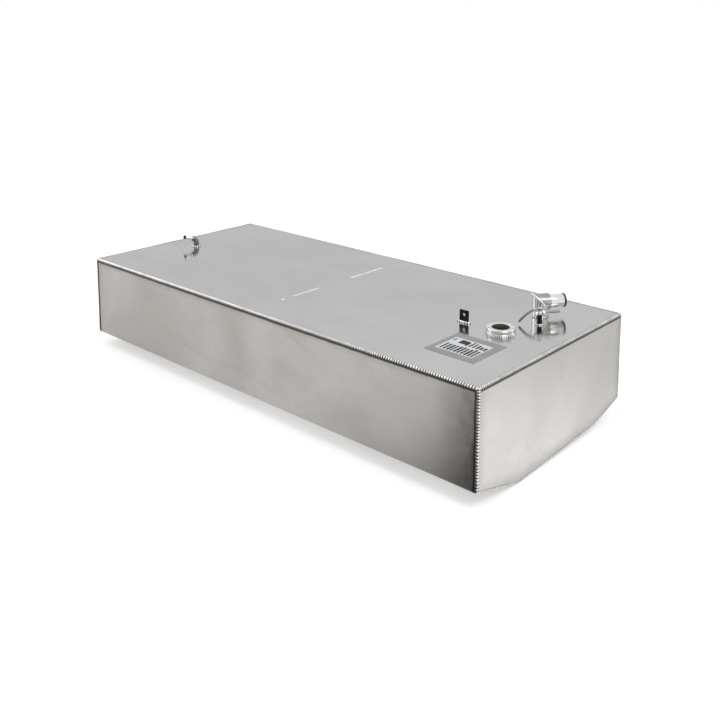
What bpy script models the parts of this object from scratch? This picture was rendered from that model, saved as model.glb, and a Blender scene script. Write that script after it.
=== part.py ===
"""A flat welded stainless water tank with a shallow hull-shaped bottom, a mitred filler,
a gauge sender flange, a pick-up pipe with a plug tap, a vent elbow and an earth tab.

Metres, +Z up. +X runs along the tank towards its fittings end, -Y is the front side.
The origin is on the ground under the middle of the tank.
"""
import math

import bmesh
import bpy
from mathutils import Matrix, Vector

# Tank shell
LENGTH = 1.270
WIDTH = 0.557
TOP_Z = 0.243
SHEET = 0.002
GAP = 0.0003
FRONT_KNEE_Z = 0.036
BACK_KNEE_Z = 0.042
FRONT_BEND_Y = 0.142
BACK_BEND_Y = 0.444
BACK_BEND_Z = 0.013
BEND_RADIUS = 0.006
BEND_STEPS = 4

# Corner welds
BEAD_LEG = 0.0032
BEAD_RISE = 0.0008
BEAD_STEPS = 5

# Centre baffle and the plug welds that hold it under the top plate
BAFFLE_X = 0.0
BAFFLE_CLEARANCE = 0.0008
BAFFLE_HOLE_RADIUS = 0.045
BAFFLE_HOLES_Y = (-0.140, 0.0, 0.140)
BAFFLE_HOLE_Z = 0.130
LIMBER_RADIUS = 0.014
PLUG_WELD_SPANS = {
    "plug_weld_front_spot": (-0.1760, -0.1670),
    "plug_weld_front": (-0.1380, -0.0515),
    "plug_weld_back": (0.0615, 0.1850),
}
PLUG_SLOT_WIDTH = 0.0030
PLUG_CROWN_WIDTH = 0.0090
PLUG_CROWN_RISE = 0.0014

# The pipes that leave the fittings sideways all point along this heading, seen from above
PIPE_HEADING = math.radians(55.5)

# Filler
FILLER_XY = (0.5066, 0.1395)
FILLER_RADIUS = 0.018
FILLER_BORE = 0.0153
FILLER_AXIS_Z = 0.0325
FILLER_LEG_END = 0.020
SPIGOT_RADIUS = 0.015
SPIGOT_BORE = 0.0134
SPIGOT_LENGTH = 0.058
SPIGOT_SOCKET = 0.0055
PIPE_INSIDE = 0.006

# Sender flange
SENDER_XY = (0.5025, -0.0100)
SENDER_RADIUS = 0.0308
SENDER_BORE = 0.019
SENDER_HEIGHT = 0.013
SENDER_BOLT_CIRCLE = 0.054
SENDER_BOLTS = 5
SENDER_BOLT_RADIUS = 0.0023
SENDER_BOLT_DEPTH = 0.010

# Pick-up pipe and its tap
PICKUP_XY = (0.536, 0.0903)
PICKUP_RADIUS = 0.0055
PICKUP_BORE = 0.0035
PICKUP_TOP = 0.0215
BUNG_RADIUS = 0.0080
STRAINER_RADIUS = 0.0095
STRAINER_HEIGHT = 0.018
STRAINER_FLOOR_GAP = 0.012
TAP_BODY_RADIUS = 0.0060
TAP_BODY_TOP = 0.0295
TAP_PORT_Z = 0.0258
TAP_PORT_RADIUS = 0.0024
TAIL_BORE = 0.0020
TAIL_END = 0.047
PLUG_RADIUS = 0.0040
STEM_RADIUS = 0.0024
STEM_TOP = 0.0371
LEVER_HEADING = math.radians(223.0)
LEVER_REACH = 0.046
LEVER_RADIUS = 0.0026
LEVER_ROOT_Z = 0.0343
LEVER_DROOP = 14.1
LEVER_STEPS = 14

# Vent
VENT_XY = (-0.5375, -0.0135)
VENT_RADIUS = 0.0075
VENT_BORE = 0.0045
VENT_TURN_Z = 0.0109
VENT_RISE = math.radians(13.0)
VENT_BEND = 0.013
VENT_ELBOW_END = 0.0012
VENT_TAIL_END = 0.026

# Earth tab
TAB_XY = (0.4077, -0.0106)
TAB_SIZE = (0.024, 0.0025, 0.028)
TAB_HOLE_RADIUS = 0.0035
TAB_HOLE_Z = 0.0175
TAB_FOOT = (0.034, 0.0125, 0.0055)

# Data label
LABEL_X = (0.4367, 0.5600)
LABEL_Y = (-0.1910, -0.0716)
LABEL_THICKNESS = 0.0004

ROUND = 32
SMALL_ROUND = 24

BOX_FACES = (
    (0, 3, 2, 1),
    (4, 5, 6, 7),
    (0, 1, 5, 4),
    (1, 2, 6, 5),
    (2, 3, 7, 6),
    (3, 0, 4, 7),
)


# ---------------------------------------------------------------- helpers


def clear_scene():
    for item in list(bpy.data.objects):
        bpy.data.objects.remove(item, do_unlink=True)


def material(name, colour, roughness, metallic):
    made = bpy.data.materials.new(name)
    made.use_nodes = True
    shader = made.node_tree.nodes["Principled BSDF"]
    shader.inputs["Base Color"].default_value = (*colour, 1.0)
    shader.inputs["Roughness"].default_value = roughness
    shader.inputs["Metallic"].default_value = metallic
    made.diffuse_color = (*colour, 1.0)
    return made


def add_object(name, bm, look, smooth=False):
    """Turns a bmesh into a named object whose faces point out."""
    bmesh.ops.recalc_face_normals(bm, faces=bm.faces)
    mesh = bpy.data.meshes.new(name)
    bm.to_mesh(mesh)
    bm.free()
    if smooth:
        mesh.shade_smooth()
        mesh.set_sharp_from_angle(angle=math.radians(35))
    made = bpy.data.objects.new(name, mesh)
    bpy.context.scene.collection.objects.link(made)
    if look is not None:
        mesh.materials.append(look)
    return made


def cut(target, name, bm):
    """Cuts a closed shape out of an object."""
    cutter = add_object(name, bm, None)
    cutter.hide_render = True
    cutter.display_type = "WIRE"
    modifier = target.modifiers.new(name, "BOOLEAN")
    modifier.operation = "DIFFERENCE"
    modifier.object = cutter


def add_box(bm, low, high):
    corners = []
    for z in (low[2], high[2]):
        for x, y in ((low[0], low[1]), (high[0], low[1]), (high[0], high[1]), (low[0], high[1])):
            corners.append(bm.verts.new((x, y, z)))
    for face in BOX_FACES:
        bm.faces.new([corners[i] for i in face])


def heading(angle):
    return Vector((math.cos(angle), math.sin(angle), 0.0))


def frame_along(direction):
    """Two unit vectors square to a direction, and the direction itself."""
    along = Vector(direction).normalized()
    guide = Vector((0, 0, 1)) if abs(along.z) < 0.9 else Vector((1, 0, 0))
    side = guide.cross(along).normalized()
    return side, along.cross(side), along


def add_ring(bm, centre, side, up, radius, count):
    ring = []
    for i in range(count):
        angle = 2 * math.pi * i / count
        ring.append(bm.verts.new(centre + side * (radius * math.cos(angle)) + up * (radius * math.sin(angle))))
    return ring


def bridge(bm, first, second):
    count = len(first)
    for i in range(count):
        j = (i + 1) % count
        bm.faces.new((first[i], first[j], second[j], second[i]))


def add_turned(bm, profile, origin, direction, count):
    """Turns a closed profile of (radius, distance along the axis) into a hollow ring."""
    side, up, along = frame_along(direction)
    rings = [add_ring(bm, origin + along * s, side, up, r, count) for r, s in profile]
    for i, ring in enumerate(rings):
        bridge(bm, ring, rings[(i + 1) % len(rings)])


def add_solid_turned(bm, profile, origin, direction, count):
    """Turns an open profile into a solid with flat ends."""
    side, up, along = frame_along(direction)
    rings = [add_ring(bm, origin + along * s, side, up, r, count) for r, s in profile]
    for first, second in zip(rings, rings[1:]):
        bridge(bm, first, second)
    bm.faces.new(rings[0])
    bm.faces.new(rings[-1])


def turned(name, profile, origin, direction, look, count=ROUND):
    bm = bmesh.new()
    add_turned(bm, profile, origin, direction, count)
    return add_object(name, bm, look, smooth=True)


def solid_turned(name, profile, origin, direction, look, count=SMALL_ROUND):
    bm = bmesh.new()
    add_solid_turned(bm, profile, origin, direction, count)
    return add_object(name, bm, look, smooth=True)


def rod(radius, start, end):
    return ((radius, start), (radius, end))


def tube(outer, inner, start, end):
    return ((outer, start), (outer, end), (inner, end), (inner, start))


def fillet_ring(inner, foot, height, base=GAP):
    """Profile of a weld bead around a pipe that stands on a plate."""
    return (
        (inner, base),
        (inner + foot, base),
        (inner + foot * 0.86, base + height * 0.40),
        (inner + foot * 0.52, base + height * 0.80),
        (inner + foot * 0.20, base + height),
        (inner, base + height),
    )


def extrude_outline(bm, outline, low, high, place):
    """Closes a flat outline into a prism; place(a, b, depth) gives each point in space."""
    first = [bm.verts.new(place(a, b, low)) for a, b in outline]
    second = [bm.verts.new(place(a, b, high)) for a, b in outline]
    bridge(bm, first, second)
    bm.faces.new(first)
    bm.faces.new(second)


def along_x(a, b, depth):
    return (depth, a, b)


def along_y(a, b, depth):
    return (a, depth, b)


# ---------------------------------------------------------------- the tank's cross-section


def section_corners():
    """Outer corners in (y, z): front top, front knee, front bend, back bend, back knee, back top."""
    half = WIDTH / 2
    return [
        Vector((-half, TOP_Z)),
        Vector((-half, FRONT_KNEE_Z)),
        Vector((FRONT_BEND_Y - half, 0.0)),
        Vector((BACK_BEND_Y - half, BACK_BEND_Z)),
        Vector((half, BACK_KNEE_Z)),
        Vector((half, TOP_Z)),
    ]


def inset_corners(corners, distance):
    """Moves every side of the closed section inwards by the same distance."""
    count = len(corners)
    moved = []
    for i in range(count):
        before, here, after = corners[i - 1], corners[i], corners[(i + 1) % count]
        into = (here - before).normalized()
        out = (after - here).normalized()
        normal_in = Vector((-into.y, into.x))
        normal_out = Vector((-out.y, out.x))
        bisector = (normal_in + normal_out).normalized()
        moved.append(here + bisector * (distance / bisector.dot(normal_in)))
    return moved


def round_corner(before, here, after, radius):
    """Points on the arc that rounds one corner."""
    back = (before - here).normalized()
    forward = (after - here).normalized()
    half_angle = back.angle(forward) / 2
    centre = here + (back + forward).normalized() * (radius / math.sin(half_angle))
    start = here + back * (radius / math.tan(half_angle)) - centre
    end = here + forward * (radius / math.tan(half_angle)) - centre
    sweep = start.angle_signed(end)
    points = []
    for i in range(BEND_STEPS + 1):
        angle = -sweep * i / BEND_STEPS
        turn = Matrix.Rotation(angle, 2)
        points.append(centre + turn @ start)
    return points


def section(distance):
    """The tank's outline at a distance inside its outer face, with its four bends rounded."""
    corners = inset_corners(section_corners(), distance)
    points = [corners[0]]
    for i in range(1, 5):
        points += round_corner(corners[i - 1], corners[i], corners[i + 1], BEND_RADIUS - distance)
    points.append(corners[5])
    return points


# ---------------------------------------------------------------- shell


def add_body_wrap(look):
    """One sheet bent four times: front wall, three bottom panels and back wall."""
    outer = section(0.0)
    inner = section(SHEET)
    wall_top = TOP_Z - SHEET - GAP
    for line in (outer, inner):
        line[0].y = wall_top
        line[-1].y = wall_top
    reach = LENGTH / 2 - SHEET - GAP
    bm = bmesh.new()
    grid = {}
    for side in (-1, 1):
        for layer, line in enumerate((outer, inner)):
            grid[side, layer] = [bm.verts.new((side * reach, p.x, p.y)) for p in line]
    for i in range(len(outer) - 1):
        for layer in (0, 1):
            left, right = grid[-1, layer], grid[1, layer]
            bm.faces.new((left[i], left[i + 1], right[i + 1], right[i]))
        for side in (-1, 1):
            out, into = grid[side, 0], grid[side, 1]
            bm.faces.new((out[i], out[i + 1], into[i + 1], into[i]))
    for i in (0, -1):
        bm.faces.new((grid[-1, 0][i], grid[1, 0][i], grid[1, 1][i], grid[-1, 1][i]))
    return add_object("body_wrap", bm, look, smooth=True)


def add_end_plate(name, side, look):
    outline = section(SHEET)
    for point in (outline[0], outline[-1]):
        point.y = TOP_Z - SHEET
    faces = sorted((side * (LENGTH / 2 - SHEET), side * LENGTH / 2))
    bm = bmesh.new()
    extrude_outline(bm, [tuple(p) for p in outline], *faces, along_x)
    return add_object(name, bm, look)


def add_baffle(look):
    """The plate across the middle, with flow holes and limber holes at its bottom bends."""
    inset = SHEET + BAFFLE_CLEARANCE
    outline = section(inset)
    for point in (outline[0], outline[-1]):
        point.y = TOP_Z - SHEET - GAP
    bm = bmesh.new()
    extrude_outline(bm, [tuple(p) for p in outline], BAFFLE_X - SHEET / 2, BAFFLE_X + SHEET / 2, along_x)
    baffle = add_object("center_baffle", bm, look)
    holes = bmesh.new()
    reach = rod(BAFFLE_HOLE_RADIUS, -0.01, 0.01)
    for y in BAFFLE_HOLES_Y:
        add_solid_turned(holes, reach, Vector((BAFFLE_X, y, BAFFLE_HOLE_Z)), (1, 0, 0), SMALL_ROUND)
    bends = (section_corners()[2], section_corners()[3])
    for bend in bends:
        limber = rod(LIMBER_RADIUS, -0.01, 0.01)
        add_solid_turned(holes, limber, Vector((BAFFLE_X, bend.x, bend.y + SHEET)), (1, 0, 0), SMALL_ROUND)
    cut(baffle, "baffle_holes", holes)
    return baffle


def add_top_plate(look):
    x, y = LENGTH / 2 - SHEET - GAP, WIDTH / 2 - SHEET
    bm = bmesh.new()
    add_box(bm, (-x, -y, TOP_Z - SHEET), (x, y, TOP_Z))
    plate = add_object("top_plate", bm, look)
    holes = bmesh.new()
    through = (-SHEET * 3, SHEET * 3)
    for centre, radius, count in (
        (FILLER_XY, FILLER_RADIUS + GAP, ROUND),
        (SENDER_XY, SENDER_BORE, ROUND),
        (PICKUP_XY, BUNG_RADIUS + GAP, SMALL_ROUND),
        (VENT_XY, VENT_RADIUS + GAP, SMALL_ROUND),
    ):
        add_solid_turned(holes, rod(radius, *through), Vector((*centre, TOP_Z)), (0, 0, 1), count)
    half = PLUG_SLOT_WIDTH / 2
    for start, end in PLUG_WELD_SPANS.values():
        add_box(holes, (BAFFLE_X - half, start, TOP_Z - 0.01), (BAFFLE_X + half, end, TOP_Z + 0.01))
    cut(plate, "top_plate_holes", holes)
    return plate


# ---------------------------------------------------------------- welds


def corner_bead():
    """Bead on an outside corner, as (depth in from the side, depth down from the top)."""
    notch = SHEET - GAP
    radius = BEAD_LEG + BEAD_RISE
    points = [(notch, notch), (notch, -GAP), (BEAD_LEG, -GAP)]
    for i in range(BEAD_STEPS + 1):
        angle = math.pi / 2 * i / BEAD_STEPS
        points.append((BEAD_LEG - radius * math.sin(angle), BEAD_LEG - radius * math.cos(angle)))
    points += [(-GAP, BEAD_LEG), (-GAP, notch)]
    return points


def end_bead():
    """Bead that stands proud of the end plate only, as (depth in from the wrap, depth in from the end)."""
    notch = SHEET - GAP
    points = [(notch, notch), (notch, -GAP), (BEAD_LEG, -GAP)]
    for i in range(BEAD_STEPS + 1):
        angle = math.pi / 2 * i / BEAD_STEPS
        u = BEAD_LEG - BEAD_LEG * math.sin(angle)
        v = notch - (notch + BEAD_RISE) * math.cos(angle)
        points.append((u, v))
    return points


def add_long_weld(name, side, look):
    """Weld along the top edge of the front or the back wall."""
    outline = [(side * (WIDTH / 2 - u), TOP_Z - v) for u, v in corner_bead()]
    reach = LENGTH / 2 + BEAD_RISE
    bm = bmesh.new()
    extrude_outline(bm, outline, -reach, reach, along_x)
    return add_object(name, bm, look)


def add_cross_weld(name, side, look):
    """Weld along the top edge of an end plate, between the two long ones."""
    outline = [(side * (LENGTH / 2 - v), TOP_Z - u) for u, v in corner_bead()]
    reach = WIDTH / 2 - BEAD_LEG - GAP
    bm = bmesh.new()
    extrude_outline(bm, outline, -reach, reach, along_y)
    return add_object(name, bm, look)


def add_end_weld(name, side, look):
    """Weld down the front edge of an end plate, under it and up its back edge."""
    profile = end_bead()
    bm = bmesh.new()
    rows = []
    for u, v in profile:
        line = section(u)
        for point in (line[0], line[-1]):
            point.y = TOP_Z - BEAD_LEG - GAP
        rows.append([bm.verts.new((side * (LENGTH / 2 - v), p.x, p.y)) for p in line])
    for i, row in enumerate(rows):
        after = rows[(i + 1) % len(rows)]
        for k in range(len(row) - 1):
            bm.faces.new((row[k], row[k + 1], after[k + 1], after[k]))
    for end in (0, -1):
        bm.faces.new([row[end] for row in rows])
    return add_object(name, bm, look)


def add_plug_weld(name, span, look):
    """A filled slot in the top plate with a low crown, over the baffle's upper edge."""
    stem = PLUG_SLOT_WIDTH / 2 - GAP
    crown = PLUG_CROWN_WIDTH / 2
    outline = [(-stem, -SHEET), (stem, -SHEET), (stem, GAP), (crown, GAP)]
    for i in range(1, BEAD_STEPS):
        angle = math.pi * i / BEAD_STEPS
        outline.append((crown * math.cos(angle), GAP + PLUG_CROWN_RISE * math.sin(angle)))
    outline += [(-crown, GAP), (-stem, GAP)]
    outline = [(BAFFLE_X + a, TOP_Z + b) for a, b in outline]
    bm = bmesh.new()
    extrude_outline(bm, outline, span[0] + GAP, span[1] - GAP, along_y)
    return add_object(name, bm, look)


# ---------------------------------------------------------------- filler


def add_mitred_tube(name, centre, direction, lean, span, look):
    """A tube whose cut end follows the mitre: the end ring shifts along the axis by its lean."""
    side, up, along = frame_along(direction)
    bm = bmesh.new()
    rings = []
    for radius in (FILLER_RADIUS, FILLER_BORE):
        plain = add_ring(bm, centre + along * span, side, up, radius, ROUND)
        cut_end = add_ring(bm, centre, side, up, radius, ROUND)
        for vert in cut_end:
            offset = (vert.co - centre).dot(lean)
            vert.co += along * (GAP * 0.75 - offset)
        rings.append((plain, cut_end))
    (outer_plain, outer_cut), (inner_plain, inner_cut) = rings
    bridge(bm, outer_plain, outer_cut)
    bridge(bm, outer_cut, inner_cut)
    bridge(bm, inner_cut, inner_plain)
    bridge(bm, inner_plain, outer_plain)
    return add_object(name, bm, look, smooth=True)


def add_mitre_weld(centre, out, look):
    """A bead around the mitre, pushed out further where the two legs face each other."""
    bead = 0.0011
    up = Vector((0, 0, 1))
    slant = (out - up).normalized()
    across = up.cross(out)
    normal = (out + up).normalized()
    bm = bmesh.new()
    rings = []
    sides = 8
    for i in range(ROUND):
        angle = 2 * math.pi * i / ROUND
        ridge = slant * (FILLER_RADIUS * math.sqrt(2) * math.cos(angle))
        ridge += across * (FILLER_RADIUS * math.sin(angle))
        outward = (slant * (math.cos(angle) / math.sqrt(2)) + across * math.sin(angle)).normalized()
        stand_off = (bead + GAP) * (1.08 + 0.45 * max(0.0, math.cos(angle)))
        middle = centre + ridge + outward * stand_off
        ring = []
        for k in range(sides):
            turn = 2 * math.pi * k / sides
            ring.append(bm.verts.new(middle + outward * (bead * math.cos(turn)) + normal * (bead * math.sin(turn))))
        rings.append(ring)
    for i, ring in enumerate(rings):
        bridge(bm, ring, rings[(i + 1) % len(rings)])
    return add_object("filler_mitre_weld", bm, look, smooth=True)


def add_filler(steel, polished, weld):
    base = Vector((*FILLER_XY, TOP_Z))
    up = Vector((0, 0, 1))
    out = heading(PIPE_HEADING)
    corner = base + up * FILLER_AXIS_Z
    drop = FILLER_AXIS_Z + SHEET + PIPE_INSIDE
    add_mitred_tube("filler_riser", corner, -up, -out, drop, steel)
    add_mitred_tube("filler_elbow_leg", corner, out, up, FILLER_LEG_END, steel)
    start = FILLER_LEG_END - SPIGOT_SOCKET
    lip = 0.0009
    spigot = (
        (SPIGOT_RADIUS, start),
        (SPIGOT_RADIUS, SPIGOT_LENGTH - 0.004),
        (SPIGOT_RADIUS + lip, SPIGOT_LENGTH - 0.003),
        (SPIGOT_RADIUS + lip, SPIGOT_LENGTH - 0.001),
        (SPIGOT_RADIUS, SPIGOT_LENGTH),
        (SPIGOT_BORE, SPIGOT_LENGTH),
        (SPIGOT_BORE, start),
    )
    turned("filler_spigot", spigot, corner, out, polished)
    turned("filler_base_weld", fillet_ring(FILLER_RADIUS + GAP, 0.004, 0.0038), base, up, weld)
    add_mitre_weld(corner, out, weld)


# ---------------------------------------------------------------- sender flange


def add_sender_flange(polished, weld):
    base = Vector((*SENDER_XY, TOP_Z))
    up = Vector((0, 0, 1))
    edge = 0.001
    profile = (
        (SENDER_BORE, GAP),
        (SENDER_RADIUS, GAP),
        (SENDER_RADIUS, 0.0042),
        (SENDER_RADIUS - 0.0008, 0.0050),
        (SENDER_RADIUS, 0.0058),
        (SENDER_RADIUS, SENDER_HEIGHT - edge),
        (SENDER_RADIUS - edge, SENDER_HEIGHT),
        (SENDER_BORE, SENDER_HEIGHT),
    )
    flange = turned("sender_flange", profile, base, up, polished, 40)
    holes = bmesh.new()
    for i in range(SENDER_BOLTS):
        out = heading(2 * math.pi * i / SENDER_BOLTS + math.pi / 2)
        foot = base + out * (SENDER_BOLT_CIRCLE / 2)
        span = rod(SENDER_BOLT_RADIUS, SENDER_HEIGHT - SENDER_BOLT_DEPTH, SENDER_HEIGHT + 0.002)
        add_solid_turned(holes, span, foot, up, 16)
    cut(flange, "sender_bolt_holes", holes)
    turned("sender_flange_weld", fillet_ring(SENDER_RADIUS + GAP, 0.003, 0.0026), base, up, weld, 40)


# ---------------------------------------------------------------- pick-up and tap


def add_pickup(steel, polished, weld):
    base = Vector((*PICKUP_XY, TOP_Z))
    up = Vector((0, 0, 1))
    sleeve = PICKUP_RADIUS + GAP
    bung_low = -SHEET - 0.006
    turned("pickup_bung", tube(BUNG_RADIUS, sleeve, bung_low, 0.003), base, up, steel, SMALL_ROUND)
    bead = fillet_ring(BUNG_RADIUS + GAP, 0.0030, 0.0028)
    turned("pickup_bung_weld", bead, base, up, weld, SMALL_ROUND)
    riser = tube(PICKUP_RADIUS, PICKUP_BORE, -0.001, PICKUP_TOP)
    turned("pickup_riser", riser, base, up, polished, SMALL_ROUND)
    strainer_low = STRAINER_FLOOR_GAP - TOP_Z + SHEET
    shelf = strainer_low + STRAINER_HEIGHT
    dip = tube(PICKUP_RADIUS, PICKUP_BORE, shelf - 0.008, -0.001 - GAP)
    turned("pickup_dip_tube", dip, base, up, steel, SMALL_ROUND)
    cup = (
        (STRAINER_RADIUS, strainer_low),
        (STRAINER_RADIUS, shelf - 0.002),
        (sleeve + 0.001, shelf),
        (sleeve, shelf),
        (sleeve, shelf - 0.002),
        (STRAINER_RADIUS - 0.001, shelf - 0.004),
        (STRAINER_RADIUS - 0.001, strainer_low),
    )
    turned("pickup_strainer", cup, base, up, steel, SMALL_ROUND)


def add_tap_body(base, out, polished):
    seat = PLUG_RADIUS + GAP
    profile = (
        (TAP_BODY_RADIUS, PICKUP_TOP + GAP),
        (TAP_BODY_RADIUS, TAP_BODY_TOP),
        (seat, TAP_BODY_TOP),
        (seat, PICKUP_TOP + 0.002),
        (PICKUP_BORE, PICKUP_TOP + 0.002),
        (PICKUP_BORE, PICKUP_TOP + GAP),
    )
    body = turned("tap_body", profile, base, (0, 0, 1), polished, SMALL_ROUND)
    port = bmesh.new()
    centre = base + Vector((0, 0, TAP_PORT_Z))
    add_solid_turned(port, rod(TAP_PORT_RADIUS, 0.0, 0.012), centre, out, 12)
    cut(body, "tap_outlet_port", port)


def add_tap_outlet(base, out, polished):
    """The union nut, and the hose tail that it holds against the body."""
    centre = base + Vector((0, 0, TAP_PORT_Z))
    flat = 0.0058
    start = TAP_BODY_RADIUS + 2 * GAP
    nut = (
        (flat * 0.86, start),
        (flat, start + 0.0008),
        (flat, start + 0.0045),
        (flat * 0.86, start + 0.0055),
        (0.0036, start + 0.0055),
        (0.0036, start),
    )
    turned("tap_union_nut", nut, centre, out, polished, 6)
    neck = 0.0030
    barb = 0.0034
    tail = (
        (neck * 0.8, start),
        (neck * 0.8, TAIL_END - 0.016),
        (neck, TAIL_END - 0.012),
        (neck * 0.8, TAIL_END - 0.0115),
        (barb, TAIL_END - 0.006),
        (neck * 0.8, TAIL_END - 0.0055),
        (neck, TAIL_END - 0.002),
        (neck * 0.8, TAIL_END),
        (TAIL_BORE * 0.9, TAIL_END),
        (TAIL_BORE * 0.9, start),
    )
    turned("tap_hose_tail", tail, centre, out, polished, 16)


def add_tap_end_cap(base, out, polished):
    """The domed plug that blanks the tap body's other port."""
    centre = base + Vector((0, 0, TAP_PORT_Z - 0.0008))
    start = TAP_BODY_RADIUS + 2 * GAP
    dome = ((0.0044, start), (0.0048, start + 0.002), (0.0041, start + 0.0046), (0.0018, start + 0.0062))
    solid_turned("tap_end_cap", dome, centre, -out, polished, 16)


def add_tap_plug(base, out, polished):
    """The plug that turns in the body: bored from below, with one window in its side."""
    low = PICKUP_TOP + 0.002 + GAP
    shoulder = TAP_BODY_TOP - GAP
    blind = shoulder - 0.0015
    profile = (
        (0.0026, blind),
        (0.0026, low),
        (PLUG_RADIUS, low),
        (PLUG_RADIUS, shoulder),
        (STEM_RADIUS, shoulder),
        (STEM_RADIUS, STEM_TOP),
    )
    bm = bmesh.new()
    add_solid_turned(bm, profile, base, (0, 0, 1), SMALL_ROUND)
    plug = add_object("tap_plug", bm, polished, smooth=True)
    window = bmesh.new()
    centre = base + Vector((0, 0, TAP_PORT_Z - 0.0003))
    shut = Matrix.Rotation(-math.pi / 2, 3, "Z") @ out
    add_solid_turned(window, rod(0.0018, 0.0013, 0.008), centre, shut, 12)
    cut(plug, "tap_plug_window", window)


def add_tap_lever(base, polished):
    """A hub on the stem with one round arm that droops towards the top plate."""
    hub_low, hub_high = TAP_BODY_TOP + 0.0026, TAP_BODY_TOP + 0.0057
    outer, inner = 0.0052, STEM_RADIUS + GAP
    bm = bmesh.new()
    add_turned(bm, tube(outer, inner, hub_low, hub_high), base, (0, 0, 1), SMALL_ROUND)
    lever = add_object("tap_lever", bm, polished, smooth=True)
    out = heading(LEVER_HEADING)
    across = Vector((0, 0, 1)).cross(out)
    arm = bmesh.new()
    rings = []
    root = 0.0035
    for i in range(LEVER_STEPS + 1):
        reach = root + (LEVER_REACH - root) * i / LEVER_STEPS
        slope = -2 * LEVER_DROOP * reach
        normal = (Vector((0, 0, 1)) - out * slope).normalized()
        middle = base + out * reach + Vector((0, 0, LEVER_ROOT_Z - LEVER_DROOP * reach * reach))
        radius = LEVER_RADIUS * min(1.0, 0.4 + 0.15 * i)
        if i == LEVER_STEPS:
            radius *= 0.55
        rings.append(add_ring(arm, middle, across, normal, radius, 12))
    for first, second in zip(rings, rings[1:]):
        bridge(arm, first, second)
    arm.faces.new(rings[0])
    arm.faces.new(rings[-1])
    guide = add_object("tap_lever_arm", arm, None)
    guide.hide_render = True
    guide.display_type = "WIRE"
    join = lever.modifiers.new("arm", "BOOLEAN")
    join.operation = "UNION"
    join.object = guide


def add_tap(polished):
    base = Vector((*PICKUP_XY, TOP_Z))
    out = heading(PIPE_HEADING)
    add_tap_body(base, out, polished)
    add_tap_outlet(base, out, polished)
    add_tap_end_cap(base, out, polished)
    gland = (
        (TAP_BODY_RADIUS, TAP_BODY_TOP + GAP),
        (TAP_BODY_RADIUS, TAP_BODY_TOP + 0.0018),
        (0.0050, TAP_BODY_TOP + 0.0023),
        (STEM_RADIUS + GAP, TAP_BODY_TOP + 0.0023),
        (STEM_RADIUS + GAP, TAP_BODY_TOP + GAP),
    )
    turned("tap_gland_nut", gland, base, (0, 0, 1), polished, SMALL_ROUND)
    add_tap_plug(base, out, polished)
    add_tap_lever(base, polished)
    hex_bore = (STEM_RADIUS + GAP) / math.cos(math.pi / 6)
    nut = tube(0.0046, hex_bore, TAP_BODY_TOP + 0.0060, STEM_TOP + 0.0004)
    turned("tap_lever_nut", nut, base, (0, 0, 1), polished, 6)


# ---------------------------------------------------------------- vent


def add_vent(steel, polished, weld):
    base = Vector((*VENT_XY, TOP_Z))
    up = Vector((0, 0, 1))
    out = -heading(PIPE_HEADING)
    across = up.cross(out)
    path = [(Vector((0, 0, -SHEET - 0.004)), 0.0)]
    sweep = math.pi / 2 - VENT_RISE
    for i in range(7):
        angle = sweep * i / 6
        reach = VENT_BEND * (1 - math.cos(angle))
        height = VENT_TURN_Z + VENT_BEND * math.sin(angle)
        path.append((out * reach + up * height, angle))
    bend_end = path[-1][0]
    run = out * math.sin(sweep) + up * math.cos(sweep)
    path.append((bend_end + run * VENT_ELBOW_END, sweep))
    bm = bmesh.new()
    layers = []
    for radius in (VENT_RADIUS, VENT_BORE):
        rings = []
        for place, angle in path:
            normal = up * math.sin(angle) - out * math.cos(angle)
            rings.append(add_ring(bm, base + place, across, normal, radius, SMALL_ROUND))
        layers.append(rings)
    outer, inner = layers
    for rings in layers:
        for first, second in zip(rings, rings[1:]):
            bridge(bm, first, second)
    bridge(bm, outer[0], inner[0])
    bridge(bm, outer[-1], inner[-1])
    add_object("vent_elbow", bm, steel, smooth=True)
    turned("vent_base_weld", fillet_ring(VENT_RADIUS + GAP, 0.0055, 0.0045), base, up, weld, SMALL_ROUND)
    neck, barb = 0.0046, 0.0053
    start, end = VENT_ELBOW_END + GAP, VENT_TAIL_END
    tail = (
        (0.0068, start),
        (0.0068, start + 0.003),
        (neck, start + 0.0035),
        (neck, end - 0.008),
        (barb, end - 0.0065),
        (barb, end - 0.0015),
        (neck, end),
        (0.0036, end),
        (0.0036, start),
    )
    turned("vent_hose_tail", tail, base + bend_end, run, polished, SMALL_ROUND)


# ---------------------------------------------------------------- earth tab and label


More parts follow.
